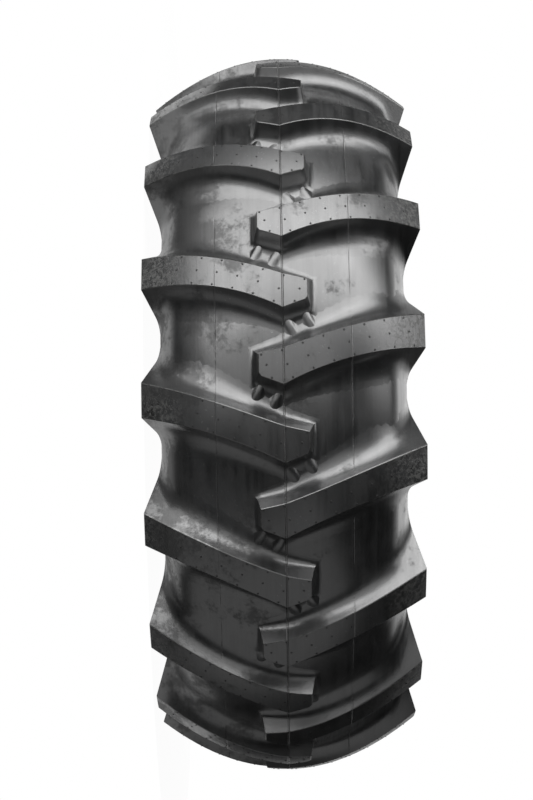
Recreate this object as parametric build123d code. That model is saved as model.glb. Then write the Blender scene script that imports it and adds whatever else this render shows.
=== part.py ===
from build123d import *
import math
import os

# Traction tyre for farm implements: one moulded piece of rubber, lying on its side.
# The axle line is Z, the origin is the wheel centre, and sizes are millimetres.
# A place on the tread is a radius, a length round the tread and a height along the axle.

# Casing, whose shoulder falls wall_fall millimetres for each one that it widens
outer_diameter = 845.0
rim_diameter = 388.6
section_width = 258.0
shoulder_width = 219.0
bead_width = 224.0
bead_base = 28.0
heel_chamfer = 6.0
rim_line_height = 24.0
wall_fall = 2.0
crown_gauge = 15.0
sidewall_gauge = 11.0

# Tread
tread_width = 291.4
tread_drop = 56.6
lug_height = 22.0
shoulder_lug_height = 27.0
lug_pairs = 17

# Plan of one lug, from the kink where its trailing edge crosses the centreline
nose_reach = 25.0
nose_lead = 31.0
nose_tail = 9.6
centre_lead = 36.9
end_lead = 87.5
end_tail = 46.6
trail_bow = 6.2

# Flanks, feet and ends of the lugs
lead_draft = 26.0
trail_draft = 16.0
foot_chamfer = 8.0
root_depth = 6.0
nose_slope = 24.0
end_slope = 20.0
buttress_drop = 78.0

# Tie ribs between each nose and the lug that follows it, by their distance from the centreline
rib_places = (8.5, 27.5)
rib_width = 7.0
rib_height = 6.0
rib_slant = 20.0

# How many flats stand for each round stretch
crown_flats = 2
arm_flats = 2

outer_radius = outer_diameter / 2
rim_radius = rim_diameter / 2
half_tread = tread_width / 2
half_section = section_width / 2
half_bead = bead_width / 2
shoulder_z = shoulder_width / 2
lug_middle = end_lead / 2
pitch_angle = 360.0 / lug_pairs
pitch_length = math.pi * outer_diameter / lug_pairs
lead_run = math.tan(math.radians(lead_draft))
trail_run = math.tan(math.radians(trail_draft))
nose_run = math.tan(math.radians(nose_slope))
end_run = math.tan(math.radians(end_slope))
rib_run = math.tan(math.radians(rib_slant))


def arc_radius(drop, reach):
    """Radius of a crown's arc that falls by this drop over this reach."""
    return (reach ** 2 + drop ** 2) / (2 * drop)


def on_arc(top, radius, z):
    """Radius about the axle of a crown's arc at a height, from its top on the centreline."""
    return top - radius + math.sqrt(radius ** 2 - z ** 2)


tread_arc = arc_radius(tread_drop, half_tread)
corner_radius = outer_radius - tread_drop
base_radius = outer_radius - lug_height
shoulder_radius = on_arc(outer_radius, tread_arc, shoulder_z) - shoulder_lug_height
base_arc = arc_radius(base_radius - shoulder_radius, shoulder_z)
wall_radius = shoulder_radius - wall_fall * (half_section - shoulder_z)
rim_line_radius = rim_radius + rim_line_height


def lug_crown(z):
    """Radius of the lug tops at a height along the axle."""
    return on_arc(outer_radius, tread_arc, z)


def casing_crown(z):
    """Radius of the casing between the lugs at a height along the axle."""
    return on_arc(base_radius, base_arc, z)


def tread_point(radius, along, z):
    """The place at this radius and height, this far round the tread."""
    turn = along / outer_radius
    return (radius * math.cos(turn), radius * math.sin(turn), z)


def casing():
    """The casing with its two beads, open to the rim."""
    inner_z = shoulder_z - crown_gauge
    heights = [shoulder_z * i / crown_flats for i in range(crown_flats + 1)]
    crown = [(casing_crown(z), z) for z in heights]
    wall = [(wall_radius, half_section), (rim_line_radius, half_bead)]
    bead = [
        (rim_radius + heel_chamfer, half_bead),
        (rim_radius, half_bead - heel_chamfer),
        (rim_radius, half_bead - bead_base),
    ]
    liner = [
        (wall_radius, half_section - sidewall_gauge),
        (casing_crown(inner_z) - crown_gauge, inner_z),
        (base_radius - crown_gauge, 0),
    ]
    upper = Polyline(*crown, *wall, *bead, *liner)
    section = make_face(upper.edges() + mirror(upper, Plane.XZ).edges())
    return revolve(Plane.XZ * section, Axis.Z)


def lead_edge(z):
    """How far the leading edge of a lug's top lies ahead of the kink."""
    if z < 0:
        return centre_lead + (centre_lead - nose_lead) * z / nose_reach
    return centre_lead + (end_lead - centre_lead) * z / half_tread


def trail_edge(z):
    """How far the trailing edge of a lug's top lies ahead of the kink, bowed most at mid-length."""
    if z < 0:
        return -nose_tail * z / nose_reach
    across = z / half_tread
    return end_tail * across + 4 * trail_bow * across * (1 - across)


def flank(along, z, base, side):
    """Foot, knee and top of one flank of a lug, seen square to the lug's middle."""
    top_x, top_y, z = tread_point(lug_crown(z), lug_middle + along, z)
    knee_x = base + foot_chamfer
    run = lead_run if side < 0 else trail_run
    knee_y = top_y + side * (top_x - knee_x) * run
    foot_y = knee_y + side * (foot_chamfer + root_depth)
    return [(base - root_depth, foot_y, z), (knee_x, knee_y, z), (top_x, top_y, z)]


def lug_section(z, base):
    """Outline of a lug at one height, standing on a casing of this radius."""
    return flank(-lead_edge(z), z, base, -1) + flank(-trail_edge(z), z, base, 1)[::-1]


def strip(this, following, i):
    """The face between two sections along one side: ruled on the top, flat elsewhere."""
    start = Line(this[i - 1], this[i])
    end = Line(following[i - 1], following[i])
    if i == len(this) // 2:
        return Face.make_surface_from_curves(start, end)
    return Face(Wire.make_polygon([start @ 0, start @ 1, end @ 1, end @ 0]))


def end_block():
    """A block across a lug that slopes outwards at the nose and at the outer end."""
    top = lug_crown(nose_reach)
    high = outer_radius + lug_height
    outline = Polyline(
        (rim_radius, -nose_reach - (top - rim_radius) * nose_run),
        (top, -nose_reach),
        (high, -nose_reach),
        (high, half_tread),
        (corner_radius, half_tread),
        (rim_radius, half_tread - (corner_radius - rim_radius) * end_run),
        close=True,
    )
    return extrude(Plane.XZ * make_face(outline), pitch_length, both=True)


def lug():
    """One upper lug, made too long at its nose and then trimmed by the end block."""
    past_nose = 2 * nose_reach
    levels = [-past_nose] + [shoulder_z * i / arm_flats for i in range(arm_flats + 1)]
    sections = [lug_section(z, casing_crown(z)) for z in levels]
    sections.append(lug_section(half_tread, shoulder_radius - buttress_drop))
    faces = [Face(Wire.make_polygon(sections[0])), Face(Wire.make_polygon(sections[-1]))]
    for this, following in zip(sections, sections[1:]):
        faces.extend(strip(this, following, i) for i in range(len(this)))
    bar = Solid(Shell(faces)) & end_block()
    return bar.rotate(Axis.Z, -math.degrees(lug_middle / outer_radius))


def rib(place):
    """One ridge under the nose, square to the leading edge of the lug that follows."""
    gap = pitch_length / 2 - lead_edge(place) + trail_edge(-place)
    lean = gap / 2 * rib_run
    start = -trail_edge(lean - place)
    end = pitch_length / 2 - lead_edge(lean + place)
    low = casing_crown(place) - root_depth
    high = casing_crown(place) + rib_height
    half_foot = rib_width / 2 * (1 + root_depth / rib_height)
    outlines = []
    for along, shift in ((start, lean), (end, -lean)):
        foot_z = shift * low / high - place
        feet = [tread_point(low, along, foot_z + side * half_foot) for side in (-1, 1)]
        outlines.append(Wire.make_polygon([*feet, tread_point(high, along, shift - place)]))
    return Solid.make_loft(outlines, ruled=True)


def tyre():
    """The whole moulding, with upper and lower lugs half a pitch apart."""
    upper = lug() + [rib(place) for place in rib_places]
    lower = mirror(upper, Plane.XY).rotate(Axis.Z, pitch_angle / 2)
    lugs = []
    for i in range(lug_pairs):
        lugs += [side.rotate(Axis.Z, pitch_angle * i) for side in (upper, lower)]
    return casing().fuse(*lugs)


body = tyre()
body.label = "tyre"
body.color = Color(0x202122)
os.makedirs("parts", exist_ok=True)
export_step(body, "parts/tyre.step")
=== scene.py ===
import bpy
import bmesh
import math
from bisect import bisect_right
from mathutils import Matrix, Vector


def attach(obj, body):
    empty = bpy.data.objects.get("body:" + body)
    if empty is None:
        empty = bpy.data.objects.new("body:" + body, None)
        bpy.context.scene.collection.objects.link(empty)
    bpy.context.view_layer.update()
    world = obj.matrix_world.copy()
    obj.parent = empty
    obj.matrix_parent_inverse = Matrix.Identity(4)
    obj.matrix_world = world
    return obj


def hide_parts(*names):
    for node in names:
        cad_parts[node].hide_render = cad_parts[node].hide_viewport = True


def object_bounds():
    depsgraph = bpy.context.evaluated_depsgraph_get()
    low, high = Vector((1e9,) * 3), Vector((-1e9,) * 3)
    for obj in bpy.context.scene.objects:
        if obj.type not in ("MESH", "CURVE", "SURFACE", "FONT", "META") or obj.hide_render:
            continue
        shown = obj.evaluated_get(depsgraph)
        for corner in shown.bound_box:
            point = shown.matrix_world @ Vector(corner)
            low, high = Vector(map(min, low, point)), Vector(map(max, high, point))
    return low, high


# Traction tyre for farm implements: moulded rubber casing with staggered lugs, tie ribs,
# mould lines and vent nibs. The axle line is Z and the origin is the wheel centre.
# Sizes are millimetres; MM turns them into metres when a mesh is made.
MM = 0.001

# Casing, as in the part's source
outer_radius = 422.5
rim_radius = 194.3
half_tread = 145.7
shoulder_z = 109.5
half_bead = 112.0
bead_base = 28.0
lug_height = 22.0
shoulder_lug_height = 27.0
tread_drop = 56.6
crown_gauge = 15.0
sidewall_gauge = 11.0
casing_turns = 204

# Bends of the casing's skin: places are (radius, height), pulls are steps from a place to its
# control point. The section stays half a millimetre inside the source's on each side.
half_section = 128.5
round_start = 98.0
shoulder_corner = (363.6, 113.5)
shoulder_pull = 0.75
wall_top = (352.0, 118.0)
wall_top_pull = (-14.0, 5.4)
widest_radius = 316.0
widest_pulls = (14.0, -34.0)
rim_line_place = (220.0, half_bead)
rim_line = ((5.0, 2.6), (3.0, 4.4), (0.0, 3.8), (-2.4, 0.9), (-5.0, 0.0))
rim_line_pull = (32.0, 9.0)
heel_start = 14.0
heel_pull = 3.0
heel_end = 11.0
crown_steps = 12
shoulder_steps = 8
upper_wall_steps = 6
lower_wall_steps = 9
heel_steps = 6

# Bends of the inside, which the photo doesn't show
toe_round = ((0.6, -2.4), (3.0, -4.0))
toe_pull = (23.0, 6.0)
liner_widest_radius = 296.0
liner_widest_pulls = (42.0, -46.7)
liner_lower_rise = 2.0
liner_crown_pull = (16.0, 18.0)
liner_steps = 9

# Lugs: edges as shares of the outer radius, ahead of the kink where the trailing edge crosses the middle
lug_pairs = 17
lead_curve = (0.0874, 0.3634, 0.0307, -0.2243)
trail_curve = (0.0, 0.518, -0.7402, 0.4798)
crown_curve = (1.0, 0.0, -1.1393, 0.0, 0.1053)
nose_reach = 25.0
nose_lead = 31.0
nose_tail = 9.6
nose_chamfer = 2.5
lug_across = 4
lug_heights = (0, 5, 11, 18, 26, 35, 45, 55, 66, 77, 88, 98, 107, 116, 124, 131, 137, 142, half_tread)
nose_heights = (-nose_reach, -nose_reach + nose_chamfer, -18, -12, -6)
nib_room = 0.5

# Sides of the lugs: draft in degrees at the centreline and at the outer end. From slide_start on
# the flanks slide out with the sloping end; feet are sought in steps, no lower than lowest_foot.
drafts = {
    "lead": (16.0, 38.0),
    "trail": (16.0, 20.0),
    "nose": (10.0, 10.0),
    "end": (-20.0, -20.0),
}
slide_start = 60.0
foot_step = 0.05
lowest_foot = 296.0
least_bend = 0.03

# Breaks of the tops' edges, and the width beside each break that is paler: partly wear, partly a painted
# highlight along the edge
edge_break = 0.5
edge_wear_and_highlight = 0.6

# Sweep from a lug's foot on to the casing: how far it reaches, at these heights along the flanks
sweep_heights = (0.0, 65.0, 100.0, half_tread)
flank_sweeps = {
    "lead": (11.0, 22.0, 24.0, 12.0),
    "trail": (13.0, 23.0, 24.0, 12.0),
}
nose_sweep = 6.5
end_sweep = 9.0
sweep_steps = 7
least_flank = 0.3
skirt_reach = 1.35
skirt_depth = 0.35

# Tie ribs between each nose and the lug that follows it, with half of their section
# as (across, height above the casing) from the foot to the crest
rib_places = (8.5, 27.5)
rib_slant = 20.0
rib_half = (
    (-10.4, -0.6),
    (-8.2, 0.05),
    (-6.6, 0.45),
    (-5.3, 1.05),
    (-4.1, 1.8),
    (-2.8, 2.45),
    (-1.4, 2.85),
    (0.0, 3.0),
)
rib_fall = 0.55
rib_fall_run = (0.35, 0.8)
rib_steps = 10

# Mould lines round the casing: section as (share of half the width, height above the casing)
mould_line_places = (-69.0, 0.0, 69.0)
mould_line_width = 1.0
mould_line_height = 0.07
mould_line_section = ((-1.0, -1.0), (-0.4, mould_line_height), (0.4, mould_line_height), (1.0, -1.0))

# Trimmed vent nibs in three rows along each lug, each row a quarter of a step on from the last
nib_rows = (0.07, 0.5, 0.93)
nib_spacing = 20.7
nib_stagger = 0.25
nib_start = 8.0
nib_margin = 10.0
nib_radius = 1.2
nib_tip_radius = 0.84
nib_height = 0.4
nib_sides = 7

# Edges that bend more than this many degrees are drawn sharp
sharp_bend = 32.0

# Patterns of the rubber's skin: size of one patch, grain or stripe in millimetres. They are
# real sizes, but for the turning marks, which are coarser than real ones so that they show.
cloud_size = 62.5
smudge_size = 52.632
nib_shade_size = 16.667
smear_spacing = 11.765
speck_size = 4.1667
grain_size = 2.381
mark_spacing = 2.381

# View of the photograph, from a camera fit: places in metres, turns in radians
view_turn = math.radians(-80.74)
camera_distance = 2.3067
camera_height = -0.0099
focal_pixels = 1907.17
photo_long_side = 800
sensor_width = 36.0
pitch_turn = -0.0073
yaw_turn = 0.0041
roll_turn = -0.0158
to_camera = Vector((math.cos(view_turn), math.sin(view_turn), 0.0))
picture_down = Vector((-math.sin(view_turn), math.cos(view_turn), 0.0))
picture_right = Vector((0.0, 0.0, 1.0))

# Soft lamps: lift above the view and turn to its side in degrees, distance and size in metres, watts
lamps = (
    ("high key", 65, 1, 2.3, (4.3, 0.95), 39.0),
    ("key", 43, 5, 2.3, (6.0, 1.0), 59.0),
    ("front fill", 17, -8, 2.4, (3.6, 1.25), 10.0),
    ("side fill", 36, 62, 2.4, (1.2, 1.2), 5.6),
    ("back fill", 180, 42, 2.6, (1.7, 1.3), 4.4),
    ("low fill", -60, -12, 2.6, (4.6, 2.8), 11.5),
)
room_light = 0.006
backdrop_in_gloss = 0.56
floor_in_gloss = 0.5

# Round floor in metres: most of it lies behind the tyre, so that little of it is mirrored in front
floor_radius = 0.6
floor_front = 0.32
floor_gap = 0.0005
floor_sides = 96
floor_glow = 1.04
floor_glow_share = 0.93


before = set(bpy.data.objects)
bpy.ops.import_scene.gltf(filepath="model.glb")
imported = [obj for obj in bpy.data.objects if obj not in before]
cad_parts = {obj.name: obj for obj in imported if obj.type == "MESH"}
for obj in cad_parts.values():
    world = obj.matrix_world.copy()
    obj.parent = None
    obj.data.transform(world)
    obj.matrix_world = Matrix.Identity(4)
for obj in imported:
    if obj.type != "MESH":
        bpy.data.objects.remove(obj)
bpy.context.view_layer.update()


def curve(shares, x):
    """A polynomial's value at x."""
    return sum(share * x ** power for power, share in enumerate(shares))


def smooth(low, high, x):
    """Runs softly from 0 at low to 1 at high."""
    t = min(max((x - low) / (high - low), 0.0), 1.0)
    return t * t * (3 - 2 * t)


def part_way(start, end, share):
    """The value this share of the way from one to another."""
    return start + share * (end - start)


def point_between(start, end, share):
    """The place this share of the way from one to another."""
    return tuple(part_way(a, b, share) for a, b in zip(start, end))


def moved(place, step):
    """A place moved by a step."""
    return tuple(a + b for a, b in zip(place, step))


def between(keys, key, rows):
    """The row that belongs to this key, on straight lines between the known keys."""
    i = min(max(bisect_right(keys, key) - 1, 0), len(keys) - 2)
    return point_between(rows[i], rows[i + 1], (key - keys[i]) / (keys[i + 1] - keys[i]))


def arc_radius(drop, reach):
    """Radius of a crown's arc that falls by this drop over this reach."""
    return (reach ** 2 + drop ** 2) / (2 * drop)


def on_arc(top, radius, z):
    """Radius about the axle of a crown's arc at a height, from its top on the centreline."""
    return top - radius + math.sqrt(radius ** 2 - z ** 2)


def bend(controls, steps):
    """Points of one smooth bend along its control points, without the start."""
    power = len(controls) - 1
    points = []
    for i in range(1, steps + 1):
        t = i / steps
        shares = [math.comb(power, k) * t ** k * (1 - t) ** (power - k) for k in range(power + 1)]
        points.append(tuple(sum(s * c for s, c in zip(shares, column)) for column in zip(*controls)))
    return points


base_radius = outer_radius - lug_height
shoulder_top = on_arc(outer_radius, arc_radius(tread_drop, half_tread), shoulder_z)
base_arc = arc_radius(base_radius - shoulder_top + shoulder_lug_height, shoulder_z)


def outer_section():
    """Radius and height down one side of the casing, from the centreline to the bead's toe."""
    heights = [round_start * i / crown_steps for i in range(crown_steps + 1)]
    points = [(on_arc(base_radius, base_arc, z), z) for z in heights]
    crown_end = points[-1]
    from_crown = point_between(crown_end, shoulder_corner, shoulder_pull)
    to_wall = point_between(wall_top, shoulder_corner, shoulder_pull)
    points += bend((crown_end, from_crown, to_wall, wall_top), shoulder_steps)
    widest = (widest_radius, half_section)
    above, below = [moved(widest, (pull, 0.0)) for pull in widest_pulls]
    points += bend((wall_top, moved(wall_top, wall_top_pull), above, widest), upper_wall_steps)
    line = [moved(rim_line_place, step) for step in rim_line]
    points += bend((widest, below, moved(rim_line_place, rim_line_pull), line[0]), lower_wall_steps)
    points += line[1:]
    heel = (
        (rim_radius + heel_start, half_bead),
        (rim_radius + heel_pull, half_bead),
        (rim_radius, half_bead - heel_pull),
        (rim_radius, half_bead - heel_end),
    )
    points += bend(heel, heel_steps)
    points.append((rim_radius, half_bead - bead_base))
    return points


def liner_section():
    """Radius and height of the inside, from the bead's toe back to the centreline."""
    inner_top = base_radius - crown_gauge
    inner_arc = base_arc - crown_gauge
    start_z = round_start * (1 - crown_gauge / base_arc)
    start = (on_arc(inner_top, inner_arc, start_z), start_z)
    slope = -start_z / math.sqrt(inner_arc ** 2 - start_z ** 2)
    crown_pull = (liner_crown_pull[0] * slope, liner_crown_pull[1])
    points = [moved((rim_radius, half_bead - bead_base), step) for step in toe_round]
    toe = points[-1]
    widest = (liner_widest_radius, half_section - sidewall_gauge)
    above, below = [moved(widest, (pull, 0.0)) for pull in liner_widest_pulls]
    below = moved(below, (0.0, -liner_lower_rise))
    points += bend((toe, moved(toe, toe_pull), below, widest), liner_steps)
    points += bend((widest, above, moved(start, crown_pull), start), liner_steps)
    for i in range(1, liner_steps + 1):
        z = start_z * (1 - i / liner_steps)
        points.append((on_arc(inner_top, inner_arc, z), z))
    return points


# The skin from the centreline down: its points, the lengths down to them, and the part that carries lugs
skin = outer_section()
skin_lengths = [0.0]
for here, there in zip(skin, skin[1:]):
    skin_lengths.append(skin_lengths[-1] + math.dist(here, there))
carrying = [(z, (r, length)) for (r, z), length in zip(skin, skin_lengths)]
carrying = carrying[:1 + max(i for i, (r, z) in enumerate(skin) if z >= half_section - 1e-6)]
carrying_heights = [z for z, row in carrying]
carrying_rows = [row for z, row in carrying]


def casing_point(down):
    """Radius and height at a length down the casing's skin, which is negative below the centreline."""
    r, z = between(skin_lengths, abs(down), skin)
    return r, math.copysign(z, down)


def casing_at_height(z):
    """Radius of the casing's skin at a height, and the length down the skin to it."""
    r, down = between(carrying_heights, min(abs(z), half_section), carrying_rows)
    return r, math.copysign(down, z)


def lug_crown(z):
    """Radius of the lug tops at a height, less the room that the vent nibs stand in."""
    return outer_radius * curve(crown_curve, abs(z) / outer_radius) - nib_room


def lead_edge(z):
    """How far ahead of the kink a lug's leading edge lies."""
    at_centre = outer_radius * lead_curve[0]
    if z < 0:
        return part_way(at_centre, nose_lead, -z / nose_reach)
    return outer_radius * curve(lead_curve, z / outer_radius)


def trail_edge(z):
    """How far ahead of the kink a lug's trailing edge lies."""
    if z < 0:
        return -nose_tail * z / nose_reach
    return outer_radius * curve(trail_curve, z / outer_radius)


def lug_outline():
    """The top's outline as (ahead, height, kind of the edge that follows), leading edge first."""
    heights = nose_heights + lug_heights
    shares = [i / lug_across for i in range(lug_across)]
    end_lead, end_tail = lead_edge(half_tread), trail_edge(half_tread)
    chamfer_end = nose_tail + nose_chamfer
    points = [(lead_edge(z), z, "lead") for z in heights[:-1]]
    points += [(part_way(end_lead, end_tail, share), half_tread, "end") for share in shares]
    points += [(trail_edge(z), z, "trail") for z in reversed(heights[1:])]
    points += [(part_way(chamfer_end, nose_lead, share), -nose_reach, "nose") for share in shares]
    return points


def meet(before, after, one, two):
    """The step that moves two edges outwards by the given amounts at the corner between them."""
    turn = before[0] * after[1] - before[1] * after[0]
    if abs(turn) < least_bend:
        across = (before[0] + after[0], before[1] + after[1])
        size = math.hypot(*across)
        return across[0] / size * (one + two) / 2, across[1] / size * (one + two) / 2
    return (one * after[1] - two * before[1]) / turn, (two * before[0] - one * after[0]) / turn


def outward(here, there):
    """Unit step square to an edge, away from the lug."""
    ahead, along = there[0] - here[0], there[1] - here[1]
    size = math.hypot(ahead, along)
    return along / size, -ahead / size


def foot_depth(z, lean):
    """How deep below the top's edge a flank with this lean meets the casing."""
    depth = 0.0
    top = lug_crown(z)
    while top - depth > lowest_foot:
        height = z + depth * lean[1]
        if abs(height) < half_section and top - depth <= casing_at_height(height)[0]:
            break
        depth += foot_step
    return depth


def draft_run(kind, z):
    """How far a side spreads for each millimetre below the top."""
    inner, outer = drafts[kind]
    return math.tan(math.radians(part_way(inner, outer, smooth(0, half_tread, z))))


def sweep_size(kind, z):
    """How far the foot's sweep reaches up the flank and out over the casing."""
    if kind == "nose":
        return nose_sweep
    if kind == "end":
        return end_sweep
    return between(sweep_heights, z, [(size,) for size in flank_sweeps[kind]])[0]


def flank_lean(before, after, kind_before, kind, z):
    """How a corner of the top moves, for each millimetre below it, with the two sides that meet there."""
    lean = meet(before, after, draft_run(kind_before, z), draft_run(kind, z))
    if kind != kind_before or kind == "end" or z <= 0:
        return lean
    slide = part_way(lean[1], draft_run("end", z), smooth(slide_start, half_tread, z))
    across = meet(before, after, 1, 1)
    size = math.hypot(*across)
    return (draft_run(kind, z) - across[1] / size * slide) / (across[0] / size), slide


def on_flank(corner, lean, depth):
    """The place this deep below a corner of the top, on the flank's straight part."""
    ahead, z = corner
    r = lug_crown(z) - depth
    return r, ahead / outer_radius + depth * lean[0] / r, z + depth * lean[1]


def on_skin(foot, out, sunk):
    """The place a step outside a foot on the casing's skin, sunk below it by a little."""
    r, z = casing_point(foot[3] + out[1])
    lean = math.atan2(z, r - base_radius + base_arc)
    return r - sunk * math.cos(lean), foot[1] + out[0] / foot[0], z - sunk * math.sin(lean)


def around(corners):
    """Each corner with the one that follows it round the ring."""
    return zip(corners, corners[1:] + corners[:1])


def lug_rings():
    """Rings of (radius, angle ahead, height) round a lug, from its top down to below the skin."""
    outline = lug_outline()
    kinds = [kind for ahead, z, kind in outline]
    sides = [outward(here, there) for here, there in around(outline)]
    leans = []
    feet = []
    for i, (ahead, z, kind) in enumerate(outline):
        lean = flank_lean(sides[i - 1], sides[i], kinds[i - 1], kind, z)
        depth = foot_depth(z, lean)
        foot_z = z + depth * lean[1]
        foot_r, down = casing_at_height(foot_z)
        leans.append((lean, depth))
        feet.append((foot_r, ahead / outer_radius + depth * lean[0] / foot_r, foot_z, down))
    foot_sides = []
    for here, there in around(feet):
        middle = (here[0] + there[0]) / 2
        foot_sides.append(outward((here[1] * middle, here[3]), (there[1] * middle, there[3])))
    columns = []
    for i, (ahead, z, kind) in enumerate(outline):
        lean, depth = leans[i]
        column = []
        for width in (edge_break + edge_wear_and_highlight, edge_break):
            back = meet(sides[i - 1], sides[i], width, width)
            column.append((lug_crown(z - back[1]), (ahead - back[0]) / outer_radius, z - back[1]))
        sizes = (sweep_size(kinds[i - 1], z), sweep_size(kind, z))
        straight = max(depth - max(sizes), depth * least_flank)
        for level in (edge_break, edge_break + edge_wear_and_highlight, (edge_break + straight) / 2, straight):
            column.append(on_flank((ahead, z), lean, level))
        out = meet(foot_sides[i - 1], foot_sides[i], *sizes)
        column += bend((column[-1], feet[i][:3], on_skin(feet[i], out, 0.0)), sweep_steps)
        skirt = (out[0] * skirt_reach, out[1] * skirt_reach)
        column.append(on_skin(feet[i], skirt, skirt_depth))
        columns.append(column)
    return list(zip(*columns))


def placed(r, ahead, z, lower):
    """A point in metres; a lower lug is the upper one mirrored and half a pitch on."""
    turn = -ahead
    if lower:
        turn += math.pi / lug_pairs
        z = -z
    return r * math.cos(turn) * MM, r * math.sin(turn) * MM, z * MM


def walls(starts, size):
    """Faces between neighbouring rings of this size, given by the number of each ring's first point."""
    faces = []
    for low, high in zip(starts, starts[1:]):
        for i in range(size):
            j = (i + 1) % size
            faces.append((low + i, low + j, high + j, high + i))
    return faces


def add_shell(mesh, points, faces, tops=(), wear_and_highlight=()):
    """Adds one closed shell to a mesh in the making, with its faces turned outwards."""
    made = [mesh.verts.new(point) for point in points]
    # The second mark is the pale band beside the tops' edges, which is partly wear and partly a painted
    # highlight
    for name, marked in (("lug_face", tops), ("edge_wear_and_highlight", wear_and_highlight)):
        layer = mesh.verts.layers.float[name]
        for i in marked:
            made[i][layer] = 1.0
    shell = [mesh.faces.new([made[i] for i in face]) for face in faces]
    bmesh.ops.recalc_face_normals(mesh, faces=shell)


def top_grid(ring, points):
    """Rows of point numbers across the top face; the places inside the ring are added to the points."""
    trail_start = len(ring) - lug_across
    last_row = len(nose_heights + lug_heights) - 1
    grid = []
    for row in range(last_row + 1):
        inside = []
        for i in range(1, lug_across):
            if row == 0:
                inside.append(len(ring) - i)
            elif row == last_row:
                inside.append(last_row + i)
            else:
                r, turn, z = point_between(ring[row], ring[trail_start - row], i / lug_across)
                inside.append(len(points))
                points.append((lug_crown(z), turn, z))
        grid.append([row, *inside, trail_start - row])
    return grid


def add_lug(mesh, lower):
    """One lug: top face, flanks, foot sweep and a closed underside inside the casing."""
    rings = lug_rings()
    size = len(rings[0])
    points = [point for ring in rings for point in ring]
    faces = walls(range(0, len(points), size), size)
    under = len(points) - size
    grid = top_grid(rings[0], points)
    for here, there in zip(grid, grid[1:]):
        for i in range(lug_across):
            faces.append((here[i], here[i + 1], there[i + 1], there[i]))
    for here, there in zip(grid[1:-2], grid[2:-1]):
        faces.append([under + i for i in (here[0], here[-1], there[-1], there[0])])
    for end, beside in ((grid[0], grid[1]), (grid[-1], grid[-2])):
        faces.append([under + i for i in (*end, beside[-1], beside[0])])
    tops = set(i for row in grid for i in row) | set(range(2 * size))
    add_shell(mesh, [placed(*point, lower) for point in points], faces, tops, range(size, 3 * size))


def add_rib(mesh, place, lower):
    """One tie rib, square to the next lug: a rounded ridge with its ends inside the two lugs."""
    half_pitch = math.pi * outer_radius / lug_pairs
    gap = half_pitch - lead_edge(place) + trail_edge(-place)
    lean = gap / 2 * math.tan(math.radians(rib_slant))
    start = -trail_edge(lean - place)
    end = half_pitch - lead_edge(lean + place)
    section = list(rib_half) + [(-across, height) for across, height in reversed(rib_half[:-1])]
    points = []
    for i in range(rib_steps + 1):
        share = i / rib_steps
        along = part_way(start, end, share)
        rise = 1 - rib_fall * smooth(*rib_fall_run, share)
        for across, height in section:
            z = lean * (1 - 2 * share) - place + across
            r = casing_at_height(z)[0] + height * rise
            points.append(placed(r, -along / outer_radius, z, lower))
    size = len(section)
    starts = range(0, len(points), size)
    ends = [tuple(range(first, first + size)) for first in (starts[0], starts[-1])]
    add_shell(mesh, points, ends + walls(starts, size))


def add_ring(mesh, section):
    """A closed section of (radius, height) turned once round the axle."""
    points = []
    for i in range(casing_turns):
        turn = 2 * math.pi * i / casing_turns
        points += [(r * math.cos(turn) * MM, r * math.sin(turn) * MM, z * MM) for r, z in section]
    size = len(section)
    add_shell(mesh, points, walls([*range(0, len(points), size), 0], size))


def new_object(name, mesh):
    """Turns a finished bmesh into an object of the scene."""
    data = bpy.data.meshes.new(name)
    mesh.to_mesh(data)
    mesh.free()
    made = bpy.data.objects.new(name, data)
    bpy.context.scene.collection.objects.link(made)
    return made


def new_mesh():
    """An empty bmesh with the marks that lug tops and their pale edges carry; the pale band is partly wear
    and partly a painted highlight.
    """
    mesh = bmesh.new()
    mesh.verts.layers.float.new("lug_face")
    mesh.verts.layers.float.new("edge_wear_and_highlight")
    return mesh


def make_casing():
    """The casing's closed shell and the mould lines that stand on it."""
    mesh = new_mesh()
    half = skin + liner_section()
    lower = [(r, -z) for r, z in half[-2:0:-1]]
    add_ring(mesh, half + lower)
    for place in mould_line_places:
        section = []
        for across, height in mould_line_section:
            z = place + mould_line_width / 2 * across
            section.append((casing_at_height(z)[0] + height, z))
        add_ring(mesh, section)
    return new_object("casing", mesh)


def make_pitch():
    """One pitch of the tread: an upper lug, a lower lug and the ribs under their noses."""
    mesh = new_mesh()
    for lower in (False, True):
        add_lug(mesh, lower)
        for place in rib_places:
            add_rib(mesh, place, lower)
    return new_object("tread_pitch", mesh)


def make_nib_seats():
    """Points where the vent nibs of one pitch stand."""
    mesh = bmesh.new()
    count = int((half_tread + nose_reach - nib_margin) / nib_spacing)
    for lower in (False, True):
        for row, share in enumerate(nib_rows):
            for i in range(count + 1):
                z = nib_start - nose_reach + nib_spacing * (i + nib_stagger * (row - 1))
                ahead = part_way(lead_edge(z), trail_edge(z), share)
                mesh.verts.new(placed(lug_crown(z), ahead / outer_radius, z, lower))
    return new_object("nib_seats", mesh)


def add(tree, kind, inputs=None, **settings):
    """Adds one node with its settings; an input takes a value, a socket or a node's first live output."""
    made = tree.nodes.new(kind)
    for name, value in settings.items():
        setattr(made, name, value)
    for key, value in (inputs or {}).items():
        if isinstance(value, bpy.types.Node):
            value = next(socket for socket in value.outputs if socket.enabled)
        if isinstance(value, bpy.types.NodeSocket):
            tree.links.new(value, made.inputs[key])
        else:
            made.inputs[key].default_value = value
    return made


def colour(code):
    """An sRGB hex colour as the linear one that a socket takes."""
    parts = [int(code[i:i + 2], 16) / 255 for i in (1, 3, 5)]
    return [p / 12.92 if p <= 0.04045 else ((p + 0.055) / 1.055) ** 2.4 for p in parts] + [1.0]


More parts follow.
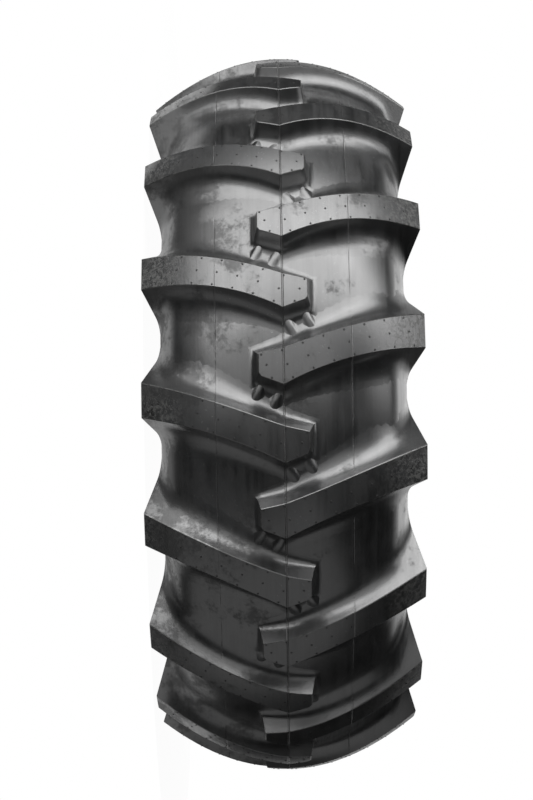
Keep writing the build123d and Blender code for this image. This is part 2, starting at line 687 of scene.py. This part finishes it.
def new_tree(name, inputs):
    """A geometry tree with a geometry in and out and the named inputs, and its entry node."""
    tree = bpy.data.node_groups.new(name, "GeometryNodeTree")
    tree.interface.new_socket("Geometry", in_out="INPUT", socket_type="NodeSocketGeometry")
    tree.interface.new_socket("Geometry", in_out="OUTPUT", socket_type="NodeSocketGeometry")
    for label, kind in inputs:
        tree.interface.new_socket(label, in_out="INPUT", socket_type=kind)
    return tree, add(tree, "NodeGroupInput").outputs


def round_axle(tree, geometry, count):
    """Nodes that set copies of a geometry evenly round the axle."""
    seats = add(tree, "GeometryNodeMeshLine", {"Count": count, "Offset": (0.0, 0.0, 0.0)})
    index = add(tree, "GeometryNodeInputIndex")
    step = add(tree, "ShaderNodeMath", {0: 2 * math.pi, 1: count}, operation="DIVIDE")
    turn = add(tree, "ShaderNodeMath", {0: index, 1: step}, operation="MULTIPLY")
    spin = add(tree, "ShaderNodeCombineXYZ", {"Z": turn})
    inputs = {"Points": seats, "Instance": geometry, "Rotation": spin}
    return add(tree, "GeometryNodeInstanceOnPoints", inputs)


def finish_tree(tree, geometry, material):
    """Ends a tree with plain mesh in a material."""
    real = add(tree, "GeometryNodeRealizeInstances", {0: geometry})
    painted = add(tree, "GeometryNodeSetMaterial", {"Geometry": real, "Material": material})
    add(tree, "NodeGroupOutput", {0: painted})
    return tree


def tread_tree():
    """Sets the pitches of the tread round the casing."""
    tree, entry = new_tree("tread round the casing", (
        ("Pitch", "NodeSocketObject"),
        ("Pitches", "NodeSocketInt"),
        ("Material", "NodeSocketMaterial"),
    ))
    pitch = add(tree, "GeometryNodeObjectInfo", {"Object": entry["Pitch"]})
    copies = round_axle(tree, pitch.outputs["Geometry"], entry["Pitches"])
    whole = add(tree, "GeometryNodeJoinGeometry", {0: entry["Geometry"]})
    tree.links.new(copies.outputs[0], whole.inputs[0])
    return finish_tree(tree, whole, entry["Material"])


def nib_tree():
    """Stands a small tapered nib on each seat, square to the axle, and repeats the pitch."""
    tree, entry = new_tree("vent nibs round the tread", (
        ("Pitches", "NodeSocketInt"),
        ("Radius", "NodeSocketFloat"),
        ("Tip Radius", "NodeSocketFloat"),
        ("Height", "NodeSocketFloat"),
        ("Material", "NodeSocketMaterial"),
    ))
    nib = add(tree, "GeometryNodeMeshCone", {
        "Vertices": nib_sides,
        "Radius Top": entry["Tip Radius"],
        "Radius Bottom": entry["Radius"],
        "Depth": entry["Height"],
    })
    place = add(tree, "GeometryNodeInputPosition")
    level = {0: place, 1: (1.0, 1.0, 0.0)}
    outwards = add(tree, "ShaderNodeVectorMath", level, operation="MULTIPLY")
    aligned = add(tree, "FunctionNodeAlignRotationToVector", {"Vector": outwards}, axis="Z")
    seats = add(tree, "GeometryNodeMeshToPoints", {"Mesh": entry["Geometry"]})
    inputs = {"Points": seats, "Instance": nib, "Rotation": aligned}
    stood = add(tree, "GeometryNodeInstanceOnPoints", inputs)
    return finish_tree(tree, round_axle(tree, stood, entry["Pitches"]), entry["Material"])


def grown(source, name, tree, values):
    """Runs a geometry tree on an object and keeps its result as a plain mesh object."""
    modifier = source.modifiers.new(tree.name, "NODES")
    modifier.node_group = tree
    for item in tree.interface.items_tree:
        if item.in_out == "INPUT" and item.name in values:
            modifier[item.identifier] = values[item.name]
    source.update_tag()
    bpy.context.view_layer.update()
    ready = source.evaluated_get(bpy.context.evaluated_depsgraph_get())
    data = bpy.data.meshes.new_from_object(ready)
    data.name = name
    bpy.data.objects.remove(source)
    made = bpy.data.objects.new(name, data)
    bpy.context.scene.collection.objects.link(made)
    return made


def new_material(name):
    """A material with an empty tree, and the tree."""
    made = bpy.data.materials.new(name)
    made.use_nodes = True
    made.node_tree.nodes.clear()
    return made, made.node_tree


def per_metre(size):
    """How many patches of this size in millimetres fit in a metre."""
    return 1 / (size * MM)


def runs_of(tree, limits):
    """Soft runs of values from 0 at one limit to 1 at the other, by name."""
    runs = {}
    for name, value, start, end in limits:
        inputs = {"Value": value, "From Min": start, "From Max": end}
        runs[name] = add(tree, "ShaderNodeMapRange", inputs, interpolation_type="SMOOTHSTEP")
    return runs


def product(tree, values):
    """Nodes that multiply all of the values."""
    total = values[0]
    for value in values[1:]:
        total = add(tree, "ShaderNodeMath", {0: total, 1: value}, operation="MULTIPLY")
    return total


def weighed(tree, start, terms):
    """Nodes that add to a start each value times its weight."""
    total = start
    for value, weight in terms:
        total = add(tree, "ShaderNodeMath", {0: value, 1: weight, 2: total}, operation="MULTIPLY_ADD")
    return total


def layered(tree, tone, layers):
    """Nodes that lay colours over a tone in turn, each by its share and its strength."""
    for share, strength, code in layers:
        inputs = {"Factor": product(tree, (share, strength)), 6: tone, 7: colour(code)}
        tone = add(tree, "ShaderNodeMix", inputs, data_type="RGBA")
    return tone


def moulded_rubber():
    """Carbon black tread rubber out of a turned steel mould: satin black skin with fine turning
    marks round the casing, cloudy release film, scuffed lug ends and a little grey dust."""
    material, tree = new_material("moulded tyre rubber")
    places = add(tree, "ShaderNodeTexCoord").outputs["Object"]
    x, y, z = add(tree, "ShaderNodeSeparateXYZ", {0: places}).outputs
    level = add(tree, "ShaderNodeVectorMath", {0: places, 1: (1.0, 1.0, 0.0)}, operation="MULTIPLY")
    radius = add(tree, "ShaderNodeVectorMath", {0: level}, operation="LENGTH")
    turn = add(tree, "ShaderNodeMath", {0: y, 1: x}, operation="ARCTAN2")
    side = add(tree, "ShaderNodeMath", {0: z}, operation="ABSOLUTE")
    top = add(tree, "ShaderNodeAttribute", attribute_name="lug_face").outputs["Fac"]
    edge = add(tree, "ShaderNodeAttribute", attribute_name="edge_wear_and_highlight").outputs["Fac"]

    # Turning marks run round the mould, and smears of release film run the same way
    wrapped = add(tree, "ShaderNodeCombineXYZ", {0: turn, 1: z, 2: radius})
    stripes = []
    for stretch, detail in (
        ((1.2, per_metre(mark_spacing), 6.0), 2.0),
        ((7.0, per_metre(smear_spacing), 0.0), 4.0),
    ):
        drawn = add(tree, "ShaderNodeVectorMath", {0: wrapped, 1: stretch}, operation="MULTIPLY")
        stripes.append(add(tree, "ShaderNodeTexNoise", {"Vector": drawn, "Scale": 1.0, "Detail": detail}))
    marks, smears = stripes
    patches = []
    for size, detail, roughness in (
        (cloud_size, 6.0, 0.62),
        (smudge_size, 9.0, 0.66),
        (speck_size, 5.0, 0.75),
        (grain_size, 3.0, 0.5),
    ):
        inputs = {"Vector": places, "Scale": per_metre(size), "Detail": detail, "Roughness": roughness}
        patches.append(add(tree, "ShaderNodeTexNoise", inputs))
    clouds, smudges, specks, grain = patches
    off_joint = add(tree, "ShaderNodeMath", {0: side, 1: mould_line_places[-1] * MM}, operation="SUBTRACT")
    off_joint = add(tree, "ShaderNodeMath", {0: off_joint}, operation="ABSOLUTE")
    # Limits of each run: shares of a pattern or a mark, or places along the axle in metres
    runs = runs_of(tree, (
        ("film", clouds, 0.38, 0.66),
        ("cloudy", clouds, 0.3, 0.7),
        ("dusty cloud", clouds, 0.5, 0.62),
        ("joint shows", clouds, 0.42, 0.6),
        ("lug end", side, 0.085, 0.14),
        ("rough speck", specks, 0.46, 0.6),
        ("dusty speck", specks, 0.6, 0.72),
        ("speckled", specks, 0.3, 0.7),
        ("edge wear and highlight patches", specks, 0.4, 0.62),
        ("edge", edge, 0.35, 0.9),
        ("upper side", z, -0.11, -0.01),
        ("middle joint", side, 0.0011, 0.0005),
        ("outer joint", off_joint, 0.0007, 0.0002),
        ("smear", smears, 0.35, 0.7),
        ("mark", marks, 0.3, 0.7),
    ))

    # Lug ends have rubbed on the ground, and the edges of the tops are paler in places: partly wear,
    # partly a painted highlight along the edges
    rubbed = product(tree, (top, runs["lug end"], runs["rough speck"]))
    wear_and_highlight = product(tree, (runs["edge"], weighed(tree, 0.1, ((runs["edge wear and highlight patches"], 0.9),))))
    dust = product(tree, (runs["dusty speck"], runs["dusty cloud"]))
    # Wiped and handled places: dull black smudges 30 to 100 mm across, most of them low down
    smudged = weighed(tree, smudges, ((runs["upper side"], -0.1), (runs["speckled"], 0.1)))
    stain = runs_of(tree, (("stain", smudged, 0.5, 0.62),))["stain"]
    # The mould's joints show as thin dark lines over the lugs too, the outer ones here and there
    outer_joint = product(tree, (runs["outer joint"], 0.4, runs["joint shows"]))
    both = {0: runs["middle joint"], 1: outer_joint}
    joints = add(tree, "ShaderNodeMath", both, operation="MAXIMUM")

    tone = layered(tree, colour("#101111"), (
        (runs["film"], 1.0, "#1e1f20"),
        (rubbed, 0.3, "#878784"),
        (dust, 0.35, "#939390"),
        (stain, 0.7, "#0a0a0a"),
        # Pale colour along the tops' edges: partly wear, partly a painted highlight
        (wear_and_highlight, 0.22, "#80807d"),
        (joints, 1.0, "#080808"),
    ))
    gloss = weighed(tree, 0.27, (
        (runs["cloudy"], 0.09),
        (runs["smear"], 0.17),
        (runs["mark"], 0.09),
        (top, 0.07),
        (rubbed, 0.2),
        (stain, 0.22),
        (joints, 0.4),
    ))
    height = weighed(tree, 0.0, ((marks, 0.35), (grain, 0.3), (rubbed, 0.8)))
    relief = add(tree, "ShaderNodeBump", {"Strength": 0.3, "Distance": 0.0004, "Height": height})
    groove = {"Strength": 0.9, "Distance": 0.0012, "Height": joints, "Normal": relief}
    relief = add(tree, "ShaderNodeBump", groove, invert=True)
    # The polished skin is rubbed off where the rubber is smudged or rubbed, and along the edges
    bare = add(tree, "ShaderNodeMath", {0: stain, 1: rubbed}, operation="MAXIMUM")
    bare = add(tree, "ShaderNodeMath", {0: bare, 1: wear_and_highlight}, operation="MAXIMUM")
    polish = weighed(tree, 1.0, ((bare, -0.6),))
    shader = add(tree, "ShaderNodeBsdfPrincipled", {
        "Base Color": tone,
        "Roughness": gloss,
        "Normal": relief,
        "IOR": 1.7,
        "Coat Weight": polish,
        "Coat Roughness": 0.27,
        "Coat IOR": 2.0,
        "Coat Normal": relief,
    })
    add(tree, "ShaderNodeOutputMaterial", {"Surface": shader})
    return material


def nib_rubber_with_painted_shade():
    """Bare rubber of the trimmed vent nibs, a little duller than the skin round them and darker: partly
    the bare rubber, partly painted shade that stands for each nib's small shadow.
    """
    material, tree = new_material("trimmed nib rubber with painted shade")
    places = add(tree, "ShaderNodeTexCoord").outputs["Object"]
    noise = add(tree, "ShaderNodeTexNoise", {"Vector": places, "Scale": per_metre(nib_shade_size)})
    # The nibs' dark tones are partly the bare rubber and partly painted shade round each small nib
    tone = layered(tree, colour("#0a0a0a"), ((noise, 1.0, "#1b1b1b"),))
    shader = add(tree, "ShaderNodeBsdfPrincipled", {"Base Color": tone, "Roughness": 0.7, "IOR": 1.6})
    add(tree, "ShaderNodeOutputMaterial", {"Surface": shader})
    return material


def seen_share(tree, shares):
    """1 for rays from the camera, the product of these shares for mirrored or bent ones, else 0."""
    path = add(tree, "ShaderNodeLightPath").outputs
    kinds = {0: path["Is Glossy Ray"], 1: path["Is Transmission Ray"]}
    bent = add(tree, "ShaderNodeMath", kinds, operation="MAXIMUM")
    either = {0: path["Is Camera Ray"], 1: product(tree, (bent, *shares))}
    return add(tree, "ShaderNodeMath", either, operation="MAXIMUM")


def studio_world():
    """Soft grey fill light from the room, and the white backdrop behind the tyre, also in its gloss."""
    world = bpy.data.worlds.new("studio")
    bpy.context.scene.world = world
    world.use_nodes = True
    tree = world.node_tree
    tree.nodes.clear()
    room = add(tree, "ShaderNodeBackground", {"Color": colour("#ffffff"), "Strength": room_light})
    backdrop = add(tree, "ShaderNodeBackground", {"Color": colour("#ffffff"), "Strength": 1.0})
    way = add(tree, "ShaderNodeTexCoord").outputs["Generated"]
    behind = add(tree, "ShaderNodeVectorMath", {0: way, 1: -to_camera}, operation="DOT_PRODUCT")
    upright = add(tree, "ShaderNodeVectorMath", {0: way, 1: picture_down}, operation="DOT_PRODUCT")
    upright = add(tree, "ShaderNodeMath", {0: upright}, operation="ABSOLUTE")
    runs = runs_of(tree, (("behind", behind, 0.1, 0.5), ("level", upright, 0.65, 0.35)))
    seen = seen_share(tree, (runs["behind"], runs["level"], backdrop_in_gloss))
    both = add(tree, "ShaderNodeMixShader", {0: seen, 1: room, 2: backdrop})
    add(tree, "ShaderNodeOutputWorld", {"Surface": both})


def studio_floor():
    """White studio floor: even and pale where it is seen, and it keeps the tyre's soft shadow."""
    material, tree = new_material("white studio floor")
    paint = add(tree, "ShaderNodeBsdfDiffuse", {"Color": colour("#fafafa")})
    glow = add(tree, "ShaderNodeEmission", {"Color": colour("#ffffff"), "Strength": floor_glow})
    share = product(tree, (seen_share(tree, (floor_in_gloss,)), floor_glow_share))
    both = add(tree, "ShaderNodeMixShader", {0: share, 1: paint, 2: glow})
    add(tree, "ShaderNodeOutputMaterial", {"Surface": both})
    return material


def lay_floor(height):
    """The round floor at a height, which lies mostly behind the tyre as the camera sees it."""
    mesh = bmesh.new()
    middle = -to_camera * (floor_radius - floor_front)
    place = Matrix.Translation((middle.x, middle.y, height))
    bmesh.ops.create_circle(mesh, cap_ends=True, segments=floor_sides, radius=floor_radius, matrix=place)
    floor = new_object("floor", mesh)
    floor.data.materials.append(studio_floor())
    return floor


def soft_lamp(name, lift, side, distance, size, power):
    """A rectangular soft lamp that faces the tyre, its long side across the view."""
    lift, side = math.radians(lift), math.radians(side)
    lifted = to_camera * math.cos(lift) - picture_down * math.sin(lift)
    place = (lifted * math.cos(side) + picture_right * math.sin(side)) * distance
    data = bpy.data.lights.new(name, "AREA")
    data.shape = "RECTANGLE"
    data.size, data.size_y = size
    data.energy = power
    lamp = bpy.data.objects.new(name, data)
    bpy.context.scene.collection.objects.link(lamp)
    back = place.normalized()
    across = (-picture_down).cross(back).normalized()
    turn = Matrix((across, back.cross(across), back)).transposed()
    lamp.matrix_world = Matrix.Translation(place) @ turn.to_4x4()


def set_camera():
    """The camera of the photograph's view."""
    data = bpy.data.cameras.new("camera")
    data.sensor_width = sensor_width
    data.lens = focal_pixels / photo_long_side * sensor_width
    data.clip_start, data.clip_end = 0.05, 50.0
    camera = bpy.data.objects.new("camera", data)
    bpy.context.scene.collection.objects.link(camera)
    small_turn = Matrix.Rotation(pitch_turn, 3, "X") @ Matrix.Rotation(yaw_turn, 3, "Y")
    straight = Matrix((picture_right, picture_down, -to_camera))
    axes = Matrix.Rotation(roll_turn, 3, "Z") @ small_turn @ straight
    spot = to_camera * camera_distance + picture_right * camera_height
    turn = Matrix((axes[0], -axes[1], -axes[2])).transposed()
    camera.matrix_world = Matrix.Translation(spot) @ turn.to_4x4()
    bpy.context.scene.camera = camera


pitch = make_pitch()
tread_values = {"Pitch": pitch, "Pitches": lug_pairs, "Material": moulded_rubber()}
tyre = grown(make_casing(), "moulded_tyre", tread_tree(), tread_values)
bpy.data.objects.remove(pitch)
tyre.data.shade_smooth()
tyre.data.set_sharp_from_angle(angle=math.radians(sharp_bend))
nib_values = {
    "Pitches": lug_pairs,
    "Radius": nib_radius * MM,
    "Tip Radius": nib_tip_radius * MM,
    "Height": nib_height * MM,
    "Material": nib_rubber_with_painted_shade(),
}
nibs = grown(make_nib_seats(), "vent_nibs", nib_tree(), nib_values)

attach(tyre, "root")
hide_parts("tyre")
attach(nibs, "root")

set_camera()
for lamp in lamps:
    soft_lamp(*lamp)
studio_world()
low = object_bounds()[0]
floor = lay_floor(low.z - floor_gap)

bpy.context.scene.view_settings.view_transform = "Standard"
